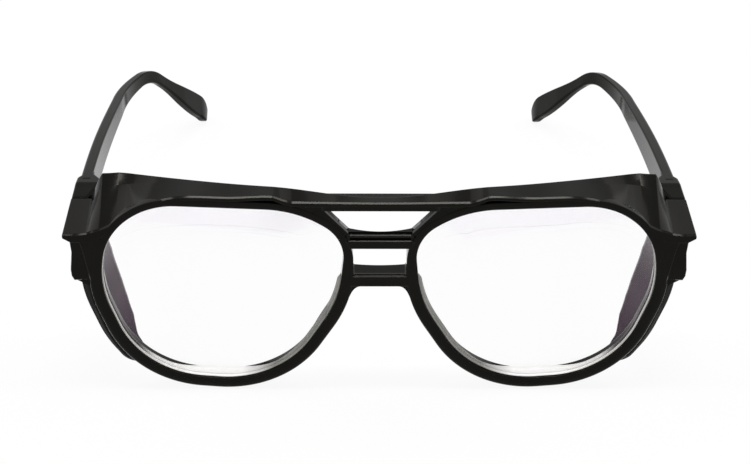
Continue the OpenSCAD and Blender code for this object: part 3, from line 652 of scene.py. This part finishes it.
# Nose pads
def makeNosePad():
    # a low pad on the nose side of the rim: its depth rises and falls as sin^0.6 along the rim
    keep = (lensBase[:, 0] < lensX - 12) & (lensBase[:, 1] > 12) & (lensBase[:, 1] < 30)
    base, out = lensBase[keep], lensNormal[keep]
    s = np.linspace(0, 1, len(base))
    rise = 0.3 + 3.7 * np.sin(np.pi * s) ** 0.6
    corner = lambda d, y: np.stack([0 * s + d, y], -1)
    corners = np.stack([corner(0.6, 0 * s + 4.4), corner(2.5, 0 * s + 4.4), corner(2.5, 4.6 + rise),
                        corner(0.6, 4.6 + rise * 0.9)], 1)
    section = roundLoop(corners, 0.6 * np.ones((len(s), 4)) * np.minimum(1, rise / 1.6)[:, None])
    xz = base[:, None] + out[:, None] * section[..., :1]
    return skin(atDepth(xz, section[..., 1]))


strut = makeStrut([7.5, bridge["midTop"]], [13.5, bridge["top"]], 1.2)
pads = makeNosePad()
rimPart = makeRim()
endParts = endPieces()
frontParts = [rimPart, mirrored(rimPart), pads, mirrored(pads), strut, mirrored(strut), makeGuard()]
putPiece("front_moulding", merged(frontParts + makeBars()), "frame", frameBlack, ["frame_front"])
webParts = [bridgeWeb()] + endParts + [mirrored(part) for part in endParts]
putPiece("front_web", merged(webParts), "frame", frameBlack, bevel=0.2)
for side, flip in sides.items():
    # the strips carry the painted reflection and painted glow of the lens-opening wall
    putPiece("lens_strip_" + side, makeStrip(), "frame", paintedWallGlow, flip=flip)
print("front ready")


# Lenses
def makeLens():
    # a flat disc moved out from the outline into the rim, with a small chamfer at its front and back edges
    edge = lensBase[::2] + lensNormal[::2] * lens["edge"]
    chamfer = 0.25
    inside = edge - lensNormal[::2] * chamfer
    near, far = lens["front"], lens["front"] + lens["thick"]
    return skin(np.stack([atDepth(inside, near), atDepth(edge, near + chamfer),
                          atDepth(edge, far - chamfer), atDepth(inside, far)]))


# Side shields
shield = {"thick": 1.4, "turn": np.radians(9), "flange": 3.5, "shift": np.array([-0.6, -0.9]),
          "top": endZ + 6.2}
# Depth of the shield's back edge behind the rim, at heights from its lower end to its top
shieldZ = np.array([2, 5.5, 8, 10, 14, 18, 22, 27, shield["top"] - 4, shield["top"] - 1.2, shield["top"]])
shieldDepth = np.array([2, 5, 9.5, 12.5, 15, 16.2, 16.9, 17.2, 15, 13.5, 11.5])


def makeShieldWall():
    # the outer sector of the lens outline, moved out, carried back by the depth at its height, which eases to
    # nothing at the lower end, and turned in about the outer side of the lens
    wall = rim["width"] + shield["flange"] - 0.6
    top = shield["top"]
    startY = rim["depth"] + 0.02
    pivotX = lensX + lens["width"] / 2
    keep = (lensBase[:, 0] > lensX + 17.8) & (lensBase[:, 1] < top + 0.6)
    base, out = lensBase[keep], lensNormal[keep]
    keep = (base + out * wall + shield["shift"])[:, 1] < top + 0.9
    base, out = base[keep], out[keep]
    share = ease(lensX + 17, lensX + 22, base[:, :1])
    outer = base + out * (rim["width"] - 0.4 + (wall - rim["width"] + 0.4) * share) + shield["shift"] * share
    inner = outer - out * shield["thick"]
    back = startY + np.interp(outer[:, 1], shieldZ, shieldDepth) * ease(lensX + 17.5, lensX + 21, base[:, 0])
    t = np.linspace(0, 1, 25)
    y = startY - 0.6 + (back + 0.3 - startY + 0.6)[:, None] * t

    def turned(xz, y):
        dx, dy = xz[:, :1] - pivotX, y - startY
        c, s = np.cos(shield["turn"]), np.sin(shield["turn"])
        z = np.broadcast_to(xz[:, 1:], y.shape)
        return np.stack([pivotX + c * dx - s * dy, startY + s * dx + c * dy, z], -1)

    return skin(np.concatenate([turned(outer, y), turned(inner, y[:, ::-1])], 1))


def makeFlange():
    # flat band behind the rim, from its outer side round to the bottom
    turn = np.arctan2(lensBase[:, 1] - lensZ, lensBase[:, 0] - lensX)
    keep = np.where((lensBase[:, 1] < lensZ + 9) & (turn > -0.66) & (turn < 1))[0]
    keep = keep[np.argsort(turn[keep])]
    base, out = lensBase[keep], lensNormal[keep]
    near = rim["depth"] + 0.02
    inner = base + out * 1.7
    share = ease(lensX + 17, lensX + 22, base[:, :1])
    outer = base + out * (rim["width"] - 0.1 + (shield["flange"] + 0.1) * share) + shield["shift"] * share
    far = near + shield["thick"]
    return skin(np.stack([atDepth(inner, near), atDepth(outer, near),
                          atDepth(outer, far), atDepth(inner, far)], 1))


for side, flip in sides.items():
    putPiece("lens_disc_" + side, merged([makeLens()]), "frame", clearLens,
             ["lens_" + side], flip=flip)
    putPiece("shield_" + side, merged([makeShieldWall(), makeFlange()]), "frame", shieldBlack,
             ["side_shield_" + side], flip=flip)
print("lenses and shields ready")

# Arms
arm = {"reach": 105.5, "slope": 9.5, "earSlope": 43.0, "bend": 20.0, "thick": 2.8, "high": 8.4,
       "endHigh": 5.2, "waist": 1.3, "earHigh": 6.8, "bow": 0.7, "toeStart": 83.0, "toe": 24.5,
       "tipTurn": 38.0, "tipBend": 11.6, "edge": 0.08, "tipZ": 0.15}
sinD = lambda a: np.sin(np.radians(a))
cosD = lambda a: np.cos(np.radians(a))
tanD = lambda a: np.tan(np.radians(a))
armStart = shelf["seam"] + 7.4
armEndZ = blockTop - (arm["reach"] - armStart) * tanD(arm["slope"]) - arm["endHigh"] / 2
earY = arm["reach"] + arm["bend"] * (sinD(arm["earSlope"]) - sinD(arm["slope"]))
earZ = armEndZ - arm["bend"] * (cosD(arm["slope"]) - cosD(arm["earSlope"]))
earSin, earCos = sinD(arm["earSlope"]), cosD(arm["earSlope"])
tipDrop = arm["tipBend"] * (earCos - cosD(arm["earSlope"] + arm["tipTurn"]))
earLength = (earZ - arm["tipZ"] - tipDrop) / earSin
armX = wallX - 0.9 - arm["thick"] / 2


def armPlan(y):
    # a slight bow, then x falls as k (y - y0)^2, then straight at the toe angle
    k = tanD(arm["toe"]) / (2 * (earY - arm["toeStart"]))
    bow = arm["bow"] * np.sin(np.pi * np.clip((y - armStart) / (arm["toeStart"] - armStart), 0, 1))
    turned = np.where(y < earY, k * (y - arm["toeStart"]) ** 2,
                      k * (earY - arm["toeStart"]) ** 2 + tanD(arm["toe"]) * (y - earY))
    return armX + bow - np.where(y < arm["toeStart"], 0, turned)


def armStations():
    # y, z, slope and height along the arm: straight run, ear bend on an arc, ear end and turned tip, where
    # the height falls as sqrt(1 - u^2.4); slim is what the waist takes off the height, mostly from below
    t = np.linspace(0, 1, 60, endpoint=False)
    y = armStart + (arm["reach"] - armStart) * t
    h = arm["high"] + (arm["endHigh"] - arm["high"]) * t
    slim = arm["waist"] * t ** 2
    z = blockTop - (y - armStart) * tanD(arm["slope"]) - h / 2 + slim * 0.3
    run = [y, z - 0.4 * (t == 0), 0 * t + arm["slope"], h - slim]  # the first ring lies inside the block
    t = np.linspace(0, 1, 24, endpoint=False)
    a = arm["slope"] + (arm["earSlope"] - arm["slope"]) * t
    slim = arm["waist"] * (1 + 0.4 * t)
    bend = [arm["reach"] + arm["bend"] * (sinD(a) - sinD(arm["slope"])) + slim * 0.3 * sinD(a),
            armEndZ - arm["bend"] * (cosD(arm["slope"]) - cosD(a)) + slim * 0.3 * cosD(a),
            a, arm["endHigh"] - slim]
    t = np.linspace(0, 1, 24, endpoint=False)
    slim = arm["waist"] * 1.4 * (1 - ease(0.1, 1, t))
    lift = slim * (0.3 - 0.15 * t)
    high = arm["endHigh"] - slim + (arm["earHigh"] - arm["endHigh"]) * ease(0.1, 0.95, t)
    ear = [earY + t * earLength * earCos + lift * earSin, earZ - t * earLength * earSin + lift * earCos,
           0 * t + arm["earSlope"], high]
    u = 1 - (1 - np.linspace(0, 1, 30)) ** 1.8
    a = arm["earSlope"] + arm["tipTurn"] * u
    w = np.sqrt(np.maximum(0, 1 - np.maximum(0, (u - 0.1) / 0.9) ** 2.4))
    tip = [earY + earLength * earCos + arm["tipBend"] * (sinD(a) - earSin),
           earZ - earLength * earSin - arm["tipBend"] * (earCos - cosD(a)),
           a, np.maximum(2 * arm["edge"], arm["earHigh"] * w)]
    return np.concatenate([np.stack(part, -1) for part in (run, bend, ear, tip)])


def makeArm():
    # a rounded rectangle at each station, square to the slope
    y, z, slope, high = armStations().T[..., None]
    width = arm["thick"] * np.minimum(1, 0.4 + 0.6 * high / arm["endHigh"])
    w, h = width / 2, high / 2
    corners = np.stack([w, h], -1) * [[-1, -1], [1, -1], [1, 1], [-1, 1]]
    cuts = np.minimum(0.75, np.minimum(w, h) * 0.7) * [1, 1, 1, 0.6]
    section = roundLoop(corners, cuts, 6, hold=0.01)
    u, v = section[..., 0], section[..., 1]
    return skin(np.stack([armPlan(y) + u, y + v * sinD(slope), z + v * cosD(slope)], -1))


def makeArmBlock():
    # rounded rectangles along y: the inner side runs in for the hinge and back out to the arm
    seam = shelf["seam"]
    y = np.concatenate([[seam + 0.08, seam + 0.2, seam + 0.45], np.linspace(seam + 0.8, seam + 15, 44)])
    end = seam + 15
    inner = np.interp(y - seam, [0.08, 8.8, 13.0, 14.6], [hingeX + 2.6, hingeX - 0.3, armX - 1.8, armX - 1.4])
    outer = np.interp(y - seam, [0, 10.8, 12.8, 15], [wallX, wallX, wallX - 0.9, wallX - 0.9])
    fall = np.maximum(0, y - armStart) * tanD(arm["slope"])
    lowEnd = blockTop - (end - armStart) * tanD(arm["slope"]) - arm["high"]
    high = blockTop - fall + 0.04 * ease(seam + 5, seam + 7, y)
    low = np.interp(y, [seam, seam + 4, end], [blockTop - shelf["block"], blockTop - shelf["block"], lowEnd])
    tuck = np.array([0.35, 0.12, 0.03] + [0] * 44)
    near, away, bottom, top = inner + tuck, outer - tuck, low + tuck, high - tuck
    around = [(near, bottom), (away, bottom), (away, top), (near, top)]
    section = roundLoop(np.stack([np.stack(spot, -1) for spot in around], 1), 0.7)
    return skin(atDepth(section, y[:, None]))


for side, flip in sides.items():
    putPiece("arm_" + side, merged([makeArm(), makeArmBlock()]), side + "_arm", armBlack,
             ["temple_" + side], flip=flip)
print("arms ready")

# CAD pieces that stay; those with a stand-in are hidden
steels = {"rivets": rivetSteel, "screw": screwSteel, "core": coreWire}
for name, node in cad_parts.items():
    if not node.hide_render:
        node.data.materials.clear()
        node.data.materials.append(next((steels[word] for word in steels if word in name), hingeSteel))
print("hinges, screws and cores ready")

# Stage, light and camera
white = (1, 1, 1, 1)
floorMesh = bpy.data.meshes.new("floor")
floorMesh.from_pydata([(-3, -3, 0), (3, -3, 0), (3, 3, 0), (-3, 3, 0)], [], [(0, 1, 2, 3)])
floor = bpy.data.objects.new("floor", floorMesh)
bpy.context.scene.collection.objects.link(floor)
floor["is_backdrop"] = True


def seenShare(paint):
    # 1 for the rays that show the background: straight from the camera, reflected or refracted
    path = lambda name: paint.node("ShaderNodeLightPath", output=name)
    return paint.held(path("Is Camera Ray") + path("Is Glossy Ray") + path("Is Transmission Ray"))


stageLooks = {"floor": (0.9, 0.9, 0.9, 1), "shine": 0.92, "dim": 0.25}


def makeFloorWhite(name, looks):
    # matte white, and for the rays that show the background a share, shine, of plain white light; the matte
    # rest keeps the object's shadow
    paint = Paint(name)
    matte = paint.node("ShaderNodeBsdfDiffuse", None, {"Color": looks["floor"]})
    glow = paint.node("ShaderNodeEmission", None, {"Color": white, "Strength": 1.0})
    share = seenShare(paint) * looks["shine"]
    return paint.finish(paint.node("ShaderNodeMixShader", None, {0: share, 1: matte, 2: glow}))


def makeStudio(name, looks):
    # white at strength 1 for the rays that show the background, at the dim strength for light on the object
    paint = Paint(name, bpy.data.worlds.new(name))
    strength = looks["dim"] + (1 - looks["dim"]) * seenShare(paint)
    return paint.finish(paint.node("ShaderNodeBackground", None, {"Color": white, "Strength": strength}))


floorMesh.materials.append(makeFloorWhite("floor white", stageLooks))
bpy.context.scene.world = makeStudio("studio", stageLooks)

# Lamps, in metres and watts; the high and side lights stand on both sides, and all aim at the bridge
lamps = {
    "top light": {"spot": (0, -0.125, 1.7), "size": (0.64, 0.16), "watts": 9.5},
    "back light": {"spot": (0, 0.68, 1.4), "size": (2.8, 0.55), "watts": 7},
    "high light": {"spot": (0.63, -0.07, 1.25), "size": (0.36, 0.14), "watts": 2.6},
    "side light": {"spot": (1.2, 0.35, 0.72), "size": (0.9, 0.9), "watts": 5},
}
lampAim = (0, -0.07, 0.05)


def softbox(name, looks, flip=1):
    # a rectangular lamp whose -z axis points from its spot to the aim
    lamp = bpy.data.lights.new(name, "AREA")
    lamp.shape, lamp.energy = "RECTANGLE", looks["watts"]
    lamp.size, lamp.size_y = looks["size"]
    thing = bpy.data.objects.new(name, lamp)
    bpy.context.scene.collection.objects.link(thing)
    spot = np.array(looks["spot"]) * [flip, 1, 1]
    thing.location = spot
    z = unit(spot - lampAim)
    x = unit(np.cross([0, 1, 0], z))
    y = np.cross(z, x)
    thing.rotation_euler = Matrix(np.stack([x, y, z], 1).tolist()).to_euler()


for name in ("top light", "back light"):
    softbox(name, lamps[name])
for side, flip in sides.items():
    for name in ("high light", "side light"):
        softbox(name + " " + side, lamps[name], flip)

# Distances are in millimetres, angles in degrees, and focus, spot and size in pixels of the picture
camera = {"distance": 400.7, "down": 32.24, "yaw": 1.43, "roll": 0.824, "focus": 1692.66,
          "spot": (380.294, 250.565), "size": (750, 464), "aimZ": 41.2}


def placeCamera(c):
    # looks along its view from its distance so that the middle of the bridge falls on the spot in the picture
    down, yaw, roll = np.radians([c["down"], c["yaw"], c["roll"]])
    along = np.array([np.sin(yaw) * np.cos(down), np.cos(yaw) * np.cos(down), -np.sin(down)])
    across = np.array([np.cos(yaw), -np.sin(yaw), 0])
    up = np.cross(across, along)
    across, up = across * np.cos(roll) + up * np.sin(roll), up * np.cos(roll) - across * np.sin(roll)
    dx, dy = (c["spot"][0] - c["size"][0] / 2) / c["focus"], (c["spot"][1] - c["size"][1] / 2) / c["focus"]
    target = np.array([0, frontY, c["aimZ"]])
    place = target - c["distance"] * (along + across * dx - up * dy)
    data = bpy.data.cameras.new("camera")
    data.sensor_width, data.lens = 36, 36 * c["focus"] / c["size"][0]
    data.clip_start, data.clip_end = 0.01, 20
    thing = bpy.data.objects.new("camera", data)
    bpy.context.scene.collection.objects.link(thing)
    turned = np.stack([across, up, -along], 1).tolist()
    thing.matrix_world = Matrix([[*row, p * mm] for row, p in zip(turned, place)] + [[0, 0, 0, 1]])
    bpy.context.scene.camera = thing


placeCamera(camera)
bpy.context.scene.view_settings.view_transform = "Standard"
print("stage, light and camera ready")

low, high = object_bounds()
{"cad": [list(cadLow), list(cadHigh)], "visual": [list(low), list(high)]}
